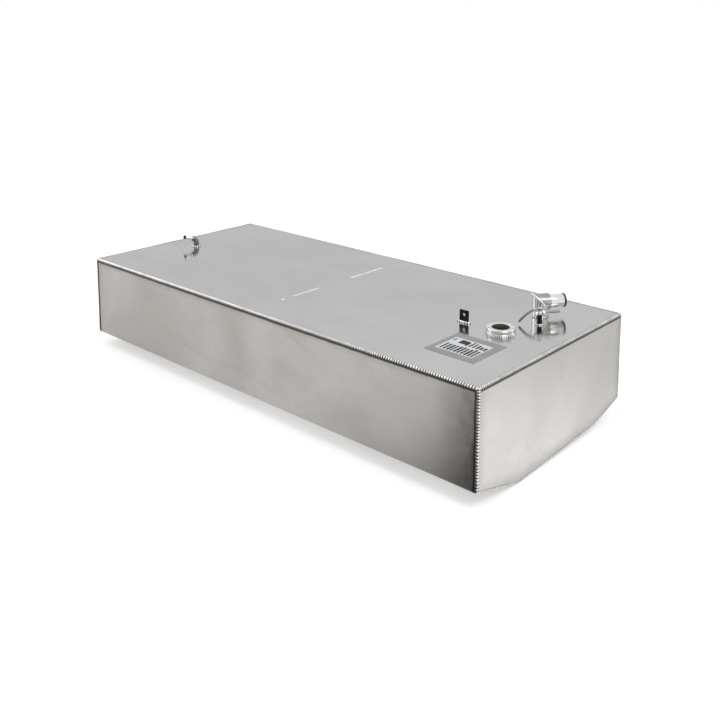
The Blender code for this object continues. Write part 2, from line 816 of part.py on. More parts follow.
def add_earth_tab(steel, weld):
    x, y = TAB_XY
    wide, thick, tall = TAB_SIZE
    corner = 0.002
    half = wide / 2
    outline = [
        (x - half, TOP_Z + GAP),
        (x + half, TOP_Z + GAP),
        (x + half, TOP_Z + tall - corner),
        (x + half - corner, TOP_Z + tall),
        (x - half + corner, TOP_Z + tall),
        (x - half, TOP_Z + tall - corner),
    ]
    bm = bmesh.new()
    extrude_outline(bm, outline, y - thick / 2, y + thick / 2, along_y)
    tab = add_object("earth_tab", bm, steel)
    hole = bmesh.new()
    span = rod(TAB_HOLE_RADIUS, -0.01, 0.01)
    add_solid_turned(hole, span, Vector((x, y, TOP_Z + TAB_HOLE_Z)), (0, 1, 0), SMALL_ROUND)
    cut(tab, "earth_tab_hole", hole)
    long, deep, high = TAB_FOOT
    bead = [
        (y - deep / 2, TOP_Z + GAP),
        (y + deep / 2, TOP_Z + GAP),
        (y + deep * 0.40, TOP_Z + high * 0.55),
        (y + deep * 0.24, TOP_Z + high),
        (y - deep * 0.24, TOP_Z + high),
        (y - deep * 0.40, TOP_Z + high * 0.55),
    ]
    bm = bmesh.new()
    extrude_outline(bm, bead, x - long / 2, x + long / 2, along_x)
    foot = add_object("earth_tab_weld", bm, weld)
    slot = bmesh.new()
    low = (x - half - GAP, y - thick / 2 - GAP, TOP_Z - 0.01)
    high_corner = (x + half + GAP, y + thick / 2 + GAP, TOP_Z + 0.02)
    add_box(slot, low, high_corner)
    cut(foot, "earth_tab_slot", slot)


def add_label(look):
    bm = bmesh.new()
    low = (LABEL_X[0], LABEL_Y[0], TOP_Z + GAP)
    high = (LABEL_X[1], LABEL_Y[1], TOP_Z + GAP + LABEL_THICKNESS)
    add_box(bm, low, high)
    return add_object("data_label", bm, look)


def main():
    clear_scene()
    satin = material("satin_stainless", (0.62, 0.61, 0.59), 0.34, 1.0)
    bright = material("bright_stainless", (0.68, 0.68, 0.67), 0.20, 1.0)
    pipe = material("pipe_stainless", (0.50, 0.50, 0.49), 0.26, 1.0)
    polished = material("polished_stainless", (0.74, 0.74, 0.73), 0.12, 1.0)
    weld = material("weld_bead", (0.60, 0.60, 0.58), 0.30, 1.0)
    label = material("label_film", (0.66, 0.67, 0.68), 0.55, 0.0)

    add_body_wrap(satin)
    add_end_plate("left_end_plate", -1, satin)
    add_end_plate("right_end_plate", 1, satin)
    add_top_plate(bright)
    add_baffle(satin)
    add_long_weld("weld_top_front", -1, weld)
    add_long_weld("weld_top_back", 1, weld)
    add_cross_weld("weld_top_left", -1, weld)
    add_cross_weld("weld_top_right", 1, weld)
    add_end_weld("weld_end_left", -1, weld)
    add_end_weld("weld_end_right", 1, weld)
    for name, span in PLUG_WELD_SPANS.items():
        add_plug_weld(name, span, weld)
    add_filler(pipe, polished, weld)
    add_sender_flange(polished, weld)
    add_pickup(pipe, polished, weld)
    add_tap(polished)
    add_vent(pipe, polished, weld)
    add_earth_tab(pipe, weld)
    add_label(label)


main()
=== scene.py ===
"""The looks of the welded stainless water tank: its finishes, weld beads, fittings and label."""
import math
import random

import bmesh
import bpy
from mathutils import Matrix, Vector


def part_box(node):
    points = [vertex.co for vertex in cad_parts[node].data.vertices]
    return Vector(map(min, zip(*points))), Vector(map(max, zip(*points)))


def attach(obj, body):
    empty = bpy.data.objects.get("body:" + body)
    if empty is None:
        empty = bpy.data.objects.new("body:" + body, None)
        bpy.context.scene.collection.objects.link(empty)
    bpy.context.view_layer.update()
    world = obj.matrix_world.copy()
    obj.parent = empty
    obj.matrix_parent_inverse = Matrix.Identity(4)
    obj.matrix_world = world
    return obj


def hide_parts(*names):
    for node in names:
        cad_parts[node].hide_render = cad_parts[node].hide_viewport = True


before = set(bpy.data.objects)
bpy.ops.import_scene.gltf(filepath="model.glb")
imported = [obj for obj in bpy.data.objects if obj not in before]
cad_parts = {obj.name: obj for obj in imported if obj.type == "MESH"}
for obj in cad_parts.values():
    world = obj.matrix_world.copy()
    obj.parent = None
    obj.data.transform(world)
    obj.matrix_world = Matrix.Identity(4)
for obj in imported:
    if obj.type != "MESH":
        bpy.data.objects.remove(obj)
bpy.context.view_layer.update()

UP = Vector((0, 0, 1))

# ---------------------------------------------------------------- measures, metres

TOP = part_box("top_plate")[1].z
PIPE_HEADING = math.radians(55.5)      # where the filler and the hose tail point, from above
SEGMENTS = 72

BEAD_PITCH = 0.0062
BEAD_SAMPLES = 6                       # rings in each ripple
BEAD_AROUND = 12
SEAM_RADIUS = 0.0050
SEAM_DEPTH = 0.0037                    # how far the bead's middle lies inside both faces
END_SEAM_DEPTH = 0.0034                # the same, from an end plate's face
END_SEAM_INSET = 0.0014                # and from its edge

SENDER_BORE = 0.019
SENDER_BOLTS = 5
SENDER_BOLT_CIRCLE = 0.054

LEVER_HEADING = math.radians(223.0)
LEVER_REACH = 0.046
LEVER_TIP_HEIGHT = 0.0045              # above the top plate

VENT_BEND = 0.013                      # radius of the elbow's bend
VENT_SWEEP = math.radians(77.0)
VENT_TURN_Z = 0.0109                   # where the bend starts, above the top plate


def node_centre(name):
    low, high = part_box(name)
    return (low + high) / 2


def heading(angle):
    return Vector((math.cos(angle), math.sin(angle), 0.0))


OUT = heading(PIPE_HEADING)


# ---------------------------------------------------------------- mesh helpers


def finish_piece(name, bm, look, body, stands_for=(), sharp=38):
    """Links a mesh, smooths it, puts it on its body, and hides the parts that it stands for."""
    bmesh.ops.recalc_face_normals(bm, faces=bm.faces)
    mesh = bpy.data.meshes.new(name)
    bm.to_mesh(mesh)
    bm.free()
    mesh.shade_smooth()
    mesh.set_sharp_from_angle(angle=math.radians(sharp))
    mesh.materials.append(look)
    piece = bpy.data.objects.new(name, mesh)
    bpy.context.scene.collection.objects.link(piece)
    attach(piece, body)
    if stands_for:
        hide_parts(*stands_for)
    return piece


def axes_along(direction):
    along = Vector(direction).normalized()
    guide = UP if abs(along.z) < 0.9 else Vector((1, 0, 0))
    side = guide.cross(along).normalized()
    return side, along.cross(side), along


def add_ring(bm, centre, side, up, radius, count=SEGMENTS, phase=0.0):
    ring = []
    for i in range(count):
        angle = phase + 2 * math.pi * i / count
        across, rise = radius * math.cos(angle), radius * math.sin(angle)
        ring.append(bm.verts.new(centre + side * across + up * rise))
    return ring


def bridge(bm, first, second):
    count = len(first)
    for i in range(count):
        j = (i + 1) % count
        bm.faces.new((first[i], first[j], second[j], second[i]))


def softened(profile, radius, steps=3, closed=True):
    """Rounds each corner of a profile with a small curve."""
    count = len(profile)
    points = []
    for i in range(count):
        here = Vector(profile[i])
        if not closed and i in (0, count - 1):
            points.append(tuple(here))
            continue
        before, after = Vector(profile[i - 1]), Vector(profile[(i + 1) % count])
        reach = min(radius, (before - here).length * 0.45, (after - here).length * 0.45)
        start = here + (before - here).normalized() * reach
        end = here + (after - here).normalized() * reach
        for k in range(steps + 1):
            t = k / steps
            points.append(tuple(start * (1 - t) ** 2 + here * (2 * t * (1 - t)) + end * t * t))
    return points


def add_turned(bm, profile, origin, direction, count=SEGMENTS, phase=0.0):
    """Turns a closed profile of (radius, distance along) into a hollow ring."""
    side, up, along = axes_along(direction)
    rings = [add_ring(bm, origin + along * s, side, up, r, count, phase) for r, s in profile]
    for i, ring in enumerate(rings):
        bridge(bm, ring, rings[(i + 1) % len(rings)])


def add_solid_turned(bm, profile, origin, direction, count=SEGMENTS, phase=0.0):
    side, up, along = axes_along(direction)
    rings = [add_ring(bm, origin + along * s, side, up, r, count, phase) for r, s in profile]
    for first, second in zip(rings, rings[1:]):
        bridge(bm, first, second)
    bm.faces.new(rings[0])
    bm.faces.new(rings[-1])


def turned(name, profile, origin, direction, look, body, nodes,
           soft=0.0004, count=SEGMENTS, solid=False):
    """Makes a piece by turning a profile of (radius, distance along)."""
    bm = bmesh.new()
    points = softened(profile, soft, closed=not solid) if soft else profile
    make = add_solid_turned if solid else add_turned
    make(bm, points, origin, direction, count)
    return finish_piece(name, bm, look, body, nodes)


# ---------------------------------------------------------------- node helpers


class Look:
    """A material's node tree, with short calls for the nodes used here."""

    def __init__(self, name, metallic, specular=0.5):
        self.material = bpy.data.materials.new(name)
        self.material.use_nodes = True
        self.nodes = self.material.node_tree.nodes
        self.links = self.material.node_tree.links
        self.shader = self.nodes["Principled BSDF"]
        self.shader.inputs["Metallic"].default_value = metallic
        self.shader.inputs["Specular IOR Level"].default_value = specular
        self.place = self.nodes.new("ShaderNodeTexCoord").outputs["Object"]

    def stretch(self, scale, turn=(0, 0, 0)):
        node = self.nodes.new("ShaderNodeMapping")
        node.inputs["Scale"].default_value = scale
        node.inputs["Rotation"].default_value = turn
        self.links.new(self.place, node.inputs["Vector"])
        return node.outputs["Vector"]

    def noise(self, scale, detail=4.0, roughness=0.55, distortion=0.0, where=None):
        node = self.nodes.new("ShaderNodeTexNoise")
        node.inputs["Scale"].default_value = scale
        node.inputs["Detail"].default_value = detail
        node.inputs["Roughness"].default_value = roughness
        node.inputs["Distortion"].default_value = distortion
        self.links.new(where or self.place, node.inputs["Vector"])
        return node.outputs["Fac"]

    def spread(self, value, low, high, to_low=0.0, to_high=1.0):
        node = self.nodes.new("ShaderNodeMapRange")
        node.interpolation_type = "SMOOTHSTEP"
        node.inputs["From Min"].default_value = low
        node.inputs["From Max"].default_value = high
        node.inputs["To Min"].default_value = to_low
        node.inputs["To Max"].default_value = to_high
        self.links.new(value, node.inputs["Value"])
        return node.outputs["Result"]

    def math(self, operation, first, second):
        node = self.nodes.new("ShaderNodeMath")
        node.operation = operation
        for value, socket in zip((first, second), node.inputs):
            if isinstance(value, (int, float)):
                socket.default_value = value
            else:
                self.links.new(value, socket)
        return node.outputs["Value"]

    def mix(self, factor, first, second):
        node = self.nodes.new("ShaderNodeMix")
        node.data_type = "RGBA"
        for value, socket in ((factor, node.inputs[0]), (first, node.inputs[6]), (second, node.inputs[7])):
            if isinstance(value, tuple):
                socket.default_value = (*value, 1.0)
            elif isinstance(value, (int, float)):
                socket.default_value = value
            else:
                self.links.new(value, socket)
        return node.outputs[2]

    def distance(self, normal, offset):
        """How far a point lies from a plane, given the plane's unit normal and its offset."""
        node = self.nodes.new("ShaderNodeVectorMath")
        node.operation = "DOT_PRODUCT"
        node.inputs[1].default_value = normal
        self.links.new(self.place, node.inputs[0])
        return self.math("ADD", node.outputs["Value"], offset)

    def band(self, normal, offset, width, strength=1.0):
        """Full strength on a plane, and nothing past the width from it."""
        away = self.math("ABSOLUTE", self.distance(normal, offset), 0.0)
        return self.spread(away, 0.0, width, strength, 0.0)

    def strongest(self, values):
        total = values[0]
        for value in values[1:]:
            total = self.math("MAXIMUM", total, value)
        return total

    def colour(self, value):
        self.links.new(value, self.shader.inputs["Base Color"])

    def roughness(self, value):
        self.links.new(value, self.shader.inputs["Roughness"])

    def bump(self, height, distance, strength=1.0, under=None):
        node = self.nodes.new("ShaderNodeBump")
        node.inputs["Distance"].default_value = distance
        node.inputs["Strength"].default_value = strength
        self.links.new(height, node.inputs["Height"])
        if under:
            self.links.new(under, node.inputs["Normal"])
        self.links.new(node.outputs["Normal"], self.shader.inputs["Normal"])
        return node.outputs["Normal"]


def shell_look(name, dark, light, blush, rough, grain_scale, heat_and_shade_bands=(), tint=(0.06, 0.05, 0.043)):
    """Rolled sheet: cloudy colour, long fine grain, handling smears and slightly wavy. The bands
    darken it towards the tint beside its welds, partly heat marks and partly painted shade; each
    is a plane's normal, offset, width, strength."""
    look = Look(name, 1.0)
    clouds = look.noise(3.2, 3.0, 0.5, 0.6)
    mottle = look.noise(16.0, 5.0, 0.6, 0.9)
    speck = look.noise(420.0, 2.0, 0.5)
    smear = look.noise(9.0, 4.0, 0.6, 1.6, look.stretch((0.45, 1.0, 1.6), (0.2, 0.1, 0.3)))
    grain = look.noise(1.0, 3.0, 0.7, 0.0, look.stretch(grain_scale))
    shade = look.mix(look.spread(clouds, 0.34, 0.66), dark, light)
    shade = look.mix(look.spread(mottle, 0.50, 0.72, 0.0, 0.55), shade, blush)
    shade = look.mix(look.spread(smear, 0.55, 0.75, 0.0, 0.22), shade, tuple(c * 0.82 for c in dark))
    shade = look.mix(look.spread(grain, 0.35, 0.75, 0.0, 0.12), shade, tuple(c * 1.12 for c in light))
    if heat_and_shade_bands:
        # painted shade beside the welds, together with heat tint, mixed in towards the tint colour
        heat_and_shade_marks = look.strongest([look.band(*band) for band in heat_and_shade_bands])
        ragged = look.spread(look.noise(38.0, 4.0, 0.6), 0.25, 0.75, 0.65, 1.15)
        shade = look.mix(look.math("MULTIPLY", heat_and_shade_marks, ragged), shade, tint)
    look.colour(shade)
    low, high = rough
    base = look.spread(mottle, 0.3, 0.7, low, high)
    base = look.math("ADD", base, look.spread(smear, 0.5, 0.8, 0.0, 0.06))
    base = look.math("ADD", base, look.spread(grain, 0.3, 0.7, -0.02, 0.02))
    look.roughness(look.math("ADD", base, look.spread(speck, 0.45, 0.7, 0.0, 0.015)))
    waves = look.bump(look.noise(4.5, 1.0, 0.4), 0.0012, 0.35)
    look.bump(grain, 0.00002, 0.25, waves)
    return look.material


def pipe_look(name, colour, tint, rough, grain_scale):
    """Drawn or machined stainless with faint turning marks."""
    look = Look(name, 1.0)
    mottle = look.noise(60.0, 4.0, 0.6, 0.5)
    grain = look.noise(1.0, 2.0, 0.6, 0.0, look.stretch(grain_scale))
    shade = look.mix(look.spread(mottle, 0.35, 0.7), colour, tint)
    look.colour(shade)
    low, high = rough
    value = look.spread(mottle, 0.3, 0.75, low, high)
    look.roughness(look.math("ADD", value, look.spread(grain, 0.3, 0.7, 0.0, 0.04)))
    look.bump(grain, 0.00004, 0.35)
    return look.material


def weld_look():
    """Bright bead metal with straw heat tint in patches; near black in its grooves and along its toes, which
    is painted shade, with heat tint as well at the outer toe.
    """
    look = Look("weld_metal", 1.0)
    patches = look.noise(55.0, 3.0, 0.5)
    fine = look.noise(900.0, 3.0, 0.6)
    groove_toe_shade = look.nodes.new("ShaderNodeAttribute")
    groove_toe_shade.attribute_name = "groove_toe_shade"
    shade = look.mix(look.spread(patches, 0.40, 0.62), (0.90, 0.90, 0.89), (0.76, 0.75, 0.74))
    shade = look.mix(look.spread(patches, 0.62, 0.74, 0.0, 0.35), shade, (0.66, 0.57, 0.46))
    # painted shade: near black in the grooves between ripples and along the toes
    shade = look.mix(groove_toe_shade.outputs["Fac"], shade, (0.016, 0.014, 0.012))
    look.colour(shade)
    look.roughness(look.spread(fine, 0.3, 0.7, 0.12, 0.24))
    look.bump(fine, 0.00008, 0.5)
    return look.material


def plain_film(name, colour, shade, rough, bump):
    look = Look(name, 0.0, 0.4)
    grain = look.noise(700.0, 3.0, 0.6)
    patch = look.noise(30.0, 3.0, 0.5)
    look.colour(look.mix(look.spread(patch, 0.35, 0.7), colour, shade))
    look.roughness(look.spread(grain, 0.3, 0.7, rough - 0.05, rough + 0.05))
    look.bump(grain, bump, 0.4)
    return look.material


END_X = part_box("right_end_plate")[1].x
WALL_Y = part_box("body_wrap")[1].y
TOP_BANDS = (
    ((0, 1, 0), WALL_Y, 0.010, 0.35),
    ((0, 1, 0), -WALL_Y, 0.012, 0.40),
    ((1, 0, 0), -END_X, 0.010, 0.30),
    ((1, 0, 0), END_X, 0.014, 0.40),
)
# beside the welds the wrap darkens towards the tint: heat tint with painted shade in the narrow bands, and
# painted shade alone in the two wide bands at the right end, the near wall darker towards that end
WRAP_HEAT_AND_SHADE_BANDS = (
    ((0, 0, 1), -TOP, 0.0130, 5.0),
    ((0, 0, 1), -TOP, 0.0240, 0.35),
    ((1, 0, 0), -END_X, 0.0128, 5.0),
    ((1, 0, 0), -END_X, 0.040, 0.80),
    ((1, 0, 0), -END_X, 0.110, 0.55),
    ((1, 0, 0), END_X, 0.0125, 4.0),
    ((1, 0, 0), END_X, 0.040, 0.18),
)


def plate_edges(node):
    """The edges of an end plate as planes: a unit normal and the offset of each."""
    outline = end_outline(node)
    planes = []
    for a, b in zip(outline, outline[1:]):
        run = b - a
        if run.length > 0.05:
            normal = Vector((-run.y, run.x)).normalized()
            planes.append(((0, normal.x, normal.y), -normal.dot(a)))
    return planes


def end_outline(node):
    """The corners of an end plate in (y, z), from front top round the bottom to back top."""
    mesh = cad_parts[node].data
    points = {(round(v.co.y, 5), round(v.co.z, 5)) for v in mesh.vertices}
    middle = Vector((0.0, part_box(node)[1].z - 0.02))
    ordered = sorted(points, key=lambda p: math.atan2(p[0] - middle.x, -(p[1] - middle.y)))
    return [Vector(p) for p in ordered]


# the end plates darken under the top seam and beside their edges: heat tint with painted shade
END_HEAT_AND_SHADE_BANDS = [((0, 0, 1), -TOP, 0.0118, 5.0)]
for edge_normal, edge_offset in plate_edges("right_end_plate"):
    END_HEAT_AND_SHADE_BANDS.append((edge_normal, edge_offset, 0.0080, 0.75))
    END_HEAT_AND_SHADE_BANDS.append((edge_normal, edge_offset, 0.030, 0.22))
# one stainless sheet in three tones set by how light falls on each face: the wrap's darker colour is painted
# shade, the end plates' lighter colour is painted light, and the top plate lies between
TOP_SHEET = shell_look("top_sheet", (0.455, 0.455, 0.458), (0.50, 0.50, 0.498), (0.475, 0.48, 0.475),
                       (0.10, 0.16), (6.0, 900.0, 900.0), TOP_BANDS, (0.16, 0.155, 0.15))
SIDE_SHEET_SHADED = shell_look("side_sheet_painted_shade", (0.34, 0.325, 0.31), (0.42, 0.405, 0.39), (0.39, 0.37, 0.35),
                        (0.27, 0.37), (7.0, 900.0, 900.0), WRAP_HEAT_AND_SHADE_BANDS)
END_SHEET_LIT = shell_look("end_sheet_painted_light", (0.50, 0.485, 0.465), (0.57, 0.555, 0.535), (0.54, 0.52, 0.495),
                       (0.26, 0.36), (900.0, 7.0, 900.0), END_HEAT_AND_SHADE_BANDS)
INNER_SHEET = shell_look("inner_sheet", (0.45, 0.45, 0.44), (0.55, 0.55, 0.54), (0.50, 0.49, 0.47),
                         (0.30, 0.42), (900.0, 7.0, 900.0))
EVEN_GRAIN = (300.0, 300.0, 300.0)
DARK_METAL = pipe_look("dark_metal", (0.022, 0.017, 0.015), (0.045, 0.036, 0.032),
                       (0.24, 0.34), EVEN_GRAIN)
PIPE = pipe_look("drawn_pipe", (0.33, 0.33, 0.325), (0.41, 0.41, 0.405), (0.16, 0.26), EVEN_GRAIN)
GREY_PIPE = pipe_look("hose_tail_metal", (0.15, 0.15, 0.148), (0.22, 0.22, 0.215),
                      (0.14, 0.22), EVEN_GRAIN)
BRIGHT = pipe_look("polished_fitting", (0.68, 0.68, 0.675), (0.78, 0.78, 0.77),
                   (0.05, 0.11), (500.0, 500.0, 60.0))
WELD = weld_look()
PLUG_BEAD = pipe_look("bright_weld", (0.60, 0.60, 0.595), (0.72, 0.72, 0.715),
                      (0.26, 0.38), EVEN_GRAIN)


def ring_look():
    """Turned stainless, rougher inside the bore, and darker there as painted shade."""
    look = Look("turned_ring_bore_shade", 1.0)
    centre = node_centre("sender_flange")
    along_x = look.distance((1, 0, 0), -centre.x)
    along_y = look.distance((0, 1, 0), -centre.y)
    square_x = look.math("MULTIPLY", along_x, along_x)
    square_y = look.math("MULTIPLY", along_y, along_y)
    radius = look.math("SQRT", look.math("ADD", square_x, square_y), 0.0)
    bore = look.spread(radius, SENDER_BORE + 0.0002, SENDER_BORE + 0.0007, 1.0, 0.0)
    turning = look.noise(1.0, 2.0, 0.6, 0.0, look.stretch((60.0, 60.0, 1600.0)))
    mottle = look.noise(70.0, 4.0, 0.6)
    shade = look.mix(look.spread(mottle, 0.35, 0.7), (0.60, 0.60, 0.595), (0.76, 0.76, 0.755))
    # painted shade: the bore is given a dark colour
    look.colour(look.mix(bore, shade, (0.20, 0.19, 0.185)))
    rough = look.spread(turning, 0.3, 0.7, 0.09, 0.17)
    look.roughness(look.math("ADD", rough, look.math("MULTIPLY", bore, 0.45)))
    look.bump(turning, 0.00005, 0.4)
    return look.material


RING = ring_look()
FILM = plain_film("label_film", (0.19, 0.192, 0.195), (0.22, 0.222, 0.225), 0.50, 0.00002)
PAPER = plain_film("label_panel", (0.50, 0.505, 0.52), (0.46, 0.465, 0.48), 0.45, 0.00001)
INK = plain_film("label_ink", (0.004, 0.004, 0.005), (0.010, 0.010, 0.011), 0.55, 0.00001)


def wear(node, look):
    """Gives a CAD node that keeps its own shape its finish."""
    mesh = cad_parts[node].data
    if not mesh.materials:
        mesh.materials.append(look)
    for i in range(len(mesh.materials)):
        mesh.materials[i] = look


# ---------------------------------------------------------------- weld beads


def ripple(phase):
    """Height of one scale of the bead, 0 to 1, steep on its trailing edge."""
    t = phase % 1.0
    return (1 - t) ** 0.7 * min(1.0, t / 0.18)


def add_bead(bm, stations, radius, crown, closed=False, pitch=BEAD_PITCH, depth=0.16,
             seed=1, outer_toe_heat_and_shade=0.0):
    """Lays a rippled bead. Each station is (middle, out, up, distance along); crown is the
    angle from out towards up that the bead faces, and the ripples trail away from it. Each
    vertex gets a painted shade value, high between two ripples and along the bead's toes, and
    the last argument raises it on the side that faces out, where it is heat tint as well."""
    groove_toe_shade = bm.verts.layers.float.new("groove_toe_shade")
    rng = random.Random(seed)
    drift = [rng.uniform(0, 2 * math.pi) for _ in range(4)]
    rings = []
    length = stations[-1][3]
    for middle, out, up, s in stations:
        from_end = radius if closed else min(s, length - s, radius)
        rounding = math.sqrt(max(0.004, 1 - (1 - from_end / radius) ** 2))
        swell = 1 + 0.035 * math.sin(s / 0.041 + drift[0]) + 0.025 * math.sin(s / 0.0173 + drift[1])
        wander = 0.22 * math.sin(s / 0.029 + drift[2]) + 0.12 * math.sin(s / 0.0119 + drift[3])
        ring = []
        for k in range(BEAD_AROUND):
            angle = crown + 2 * math.pi * k / BEAD_AROUND
            off_crown = min(k, BEAD_AROUND - k) * 2 / BEAD_AROUND
            height = ripple(s / pitch + wander + 0.9 * off_crown ** 2)
            reach = radius * rounding * swell * (1 - depth + depth * height)
            vert = bm.verts.new(middle + out * (reach * math.cos(angle)) + up * (reach * math.sin(angle)))
            # painted shade along both toes; on the outer side the last argument adds heat tint with painted
            # shade
            toe_shade = 0.8 if off_crown > 0.4 else 0.0
            if k > BEAD_AROUND / 2:
                toe_shade = max(toe_shade, outer_toe_heat_and_shade * min(1.0, max(0.0, (off_crown - 0.10) / 0.22)))
            vert[groove_toe_shade] = max(toe_shade, min(1.0, max(0.0, (0.62 - height) / 0.32)))
            ring.append(vert)
        rings.append(ring)
    for first, second in zip(rings, rings[1:]):
        bridge(bm, first, second)
    if closed:
        bridge(bm, rings[-1], rings[0])
    else:
        bm.faces.new(rings[0])
        bm.faces.new(rings[-1])


def straight_stations(start, end, out, up):
    run = end - start
    count = max(2, round(run.length / BEAD_PITCH * BEAD_SAMPLES))
    return [(start + run * (i / count), out, up, run.length * i / count) for i in range(count + 1)]


def seam(name, start, end, out, up, node, seed):
    """A corner bead whose middle runs from start to end; out and up leave the two faces."""
    bm = bmesh.new()
    add_bead(bm, straight_stations(start, end, out, up), SEAM_RADIUS, math.pi / 4, seed=seed, outer_toe_heat_and_shade=1.0)
    return finish_piece(name, bm, WELD, "tank", (node,), 60)


def ring_weld(name, centre, axis, pipe_radius, leg, node, seed):
    """A rippled fillet around a pipe that leaves a plate along the axis."""
    side, up, along = axes_along(axis)
    radius = pipe_radius + leg * 0.30
    length = 2 * math.pi * radius
    scales = round(length / 0.0046)
    count = scales * BEAD_SAMPLES
    stations = []
    for i in range(count):
        angle = 2 * math.pi * i / count
        out = side * math.cos(angle) + up * math.sin(angle)
        stations.append((centre + out * radius + along * (leg * 0.22), out, along, length * i / count))
    bm = bmesh.new()
    add_bead(bm, stations, leg * 0.66, math.pi / 4, True, length / scales, 0.15, seed)
    return finish_piece(name, bm, WELD, "tank", (node,), 60)


def build_long_seams():
    reach = END_X + 0.0008
    y = WALL_Y - SEAM_DEPTH
    z = TOP - SEAM_DEPTH
    for name, side, seed in (("weld_top_front", -1, 3), ("weld_top_back", 1, 5)):
        start, end = Vector((-reach, side * y, z)), Vector((reach, side * y, z))
        seam(name + "_bead", start, end, Vector((0, side, 0)), UP, name, seed)


def build_cross_seams():
    reach = WALL_Y + 0.0006
    x = END_X - SEAM_DEPTH
    z = TOP - SEAM_DEPTH
    for name, side, seed in (("weld_top_left", -1, 7), ("weld_top_right", 1, 9)):
        start, end = Vector((side * x, -reach, z)), Vector((side * x, reach, z))
        seam(name + "_bead", start, end, Vector((side, 0, 0)), UP, name, seed)


def edge_stations(points, x, side):
    """Stations along an end plate's outline, set in from its edge and turned at its corners."""
    lengths = [0.0]
    for a, b in zip(points, points[1:]):
        lengths.append(lengths[-1] + (b - a).length)
    count = round(lengths[-1] / BEAD_PITCH * BEAD_SAMPLES)
    stations = []
    place = 0
    for i in range(count + 1):
        s = lengths[-1] * i / count
        while place < len(points) - 2 and lengths[place + 1] < s:
            place += 1
        t = (s - lengths[place]) / max(1e-9, lengths[place + 1] - lengths[place])
        before = points[max(0, place - (t < 0.5))]
        after = points[min(len(points) - 1, place + 1 + (t >= 0.5))]
        along = (after - before).normalized()
        outward = Vector((along.y, -along.x))
        here = points[place].lerp(points[place + 1], t) - outward * END_SEAM_INSET
        middle = Vector((x, here.x, here.y))
        stations.append((middle, Vector((0, outward.x, outward.y)), Vector((side, 0, 0)), s))
    return stations


def build_end_seams():
    """The beads down, under and up each end plate's edge."""
    for name, node, side, seed in (
        ("weld_end_left", "left_end_plate", -1, 11),
        ("weld_end_right", "right_end_plate", 1, 13),
    ):
        low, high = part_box(node)
        face = high.x if side > 0 else low.x
        stations = edge_stations(end_outline(node), face - side * END_SEAM_DEPTH, side)
        bm = bmesh.new()
        add_bead(bm, stations, SEAM_RADIUS * 0.92, math.pi / 4, seed=seed, outer_toe_heat_and_shade=1.0)
        finish_piece(name + "_bead", bm, WELD, "tank", (name,), 60)


def build_plug_welds():
    """Low flat beads over the slots where the centre baffle is welded through the top."""
    for seed, name in enumerate(("plug_weld_front_spot", "plug_weld_front", "plug_weld_back")):
        low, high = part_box(name)
        x = (low.x + high.x) / 2
        half = (high.x - low.x) / 2
        z = TOP - 0.0001
        bm = bmesh.new()
        start, end = Vector((x, low.y, z)), Vector((x, high.y, z))
        stations = straight_stations(start, end, Vector((1, 0, 0)), UP * ((high.z - z) / half))
        add_bead(bm, stations, half, math.pi / 2, depth=0.07, seed=20 + seed)
        finish_piece(name + "_bead", bm, PLUG_BEAD, "tank", (name,), 60)


# ---------------------------------------------------------------- filler


def add_mitred(bm, centre, direction, lean, span, outer, inner):
    """A hollow pipe from a slanting cut through the centre to a square end at the span."""
    side, up, along = axes_along(direction)
    rings = []
    for radius in (outer, inner):
        plain = add_ring(bm, centre + along * span, side, up, radius)
        relief = 0.0004 if radius == inner else 0.0
        soft = add_ring(bm, centre + along * (span - 0.0004), side, up, radius + relief)
        cut_end = add_ring(bm, centre, side, up, radius)
        for vert in cut_end:
            vert.co -= along * (vert.co - centre).dot(lean)
        rings.append((plain, soft, cut_end))
    (a, b, c), (d, e, f) = rings
    bridge(bm, b, c)
    bridge(bm, c, f)
    bridge(bm, f, d)
    bridge(bm, d, a)
    bridge(bm, a, b)
    bmesh.ops.delete(bm, geom=e, context="VERTS")


def build_filler():
    low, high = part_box("filler_riser")
    centre = (low + high) / 2
    radius = (high.x - low.x) / 2
    bore = radius - 0.0027
    spigot_low, spigot_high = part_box("filler_spigot")
    axis_z = (spigot_low.z + spigot_high.z) / 2
    corner = Vector((centre.x, centre.y, axis_z))
    riser = bmesh.new()
    add_mitred(riser, corner, -UP, -OUT, axis_z - low.z, radius, bore)
    finish_piece("filler_riser_pipe", riser, BRIGHT, "tank", ("filler_riser",))
    leg_end = 0.020
    # the elbow leg is the riser's own tube in a darker tone: painted shade
    leg = bmesh.new()
    add_mitred(leg, corner, OUT, UP, leg_end, radius, bore)
    finish_piece("filler_elbow_pipe_painted_shade", leg, PIPE, "tank", ("filler_elbow_leg",))
    spigot_radius, spigot_bore, length = 0.0150, 0.0134, 0.058
    start = leg_end - 0.0055
    profile = (
        (spigot_radius, start),
        (spigot_radius, length - 0.0048),
        (spigot_bore + 0.0004, length - 0.0042),
        (spigot_bore + 0.0004, start),
    )
    turned("filler_spigot_pipe", profile, corner, OUT, BRIGHT, "tank",
           ("filler_spigot",))
    # a dark piece lines the spigot's bore, painted shade inside the pipe, and makes a dark lip round its
    # open end
    lip = (
        (spigot_bore, start),
        (spigot_bore + 0.0003, length - 0.0044),
        (spigot_radius + 0.0007, length - 0.0040),
        (spigot_radius + 0.0008, length - 0.0010),
        (spigot_radius, length),
        (spigot_bore, length),
    )
    turned("filler_spigot_lip_bore_shade", lip, corner, OUT, DARK_METAL, "tank", ())
    base = Vector((centre.x, centre.y, TOP))
    ring_weld("filler_base_bead", base, UP, radius, 0.0038, "filler_base_weld", 31)
    build_mitre_bead(corner, radius)


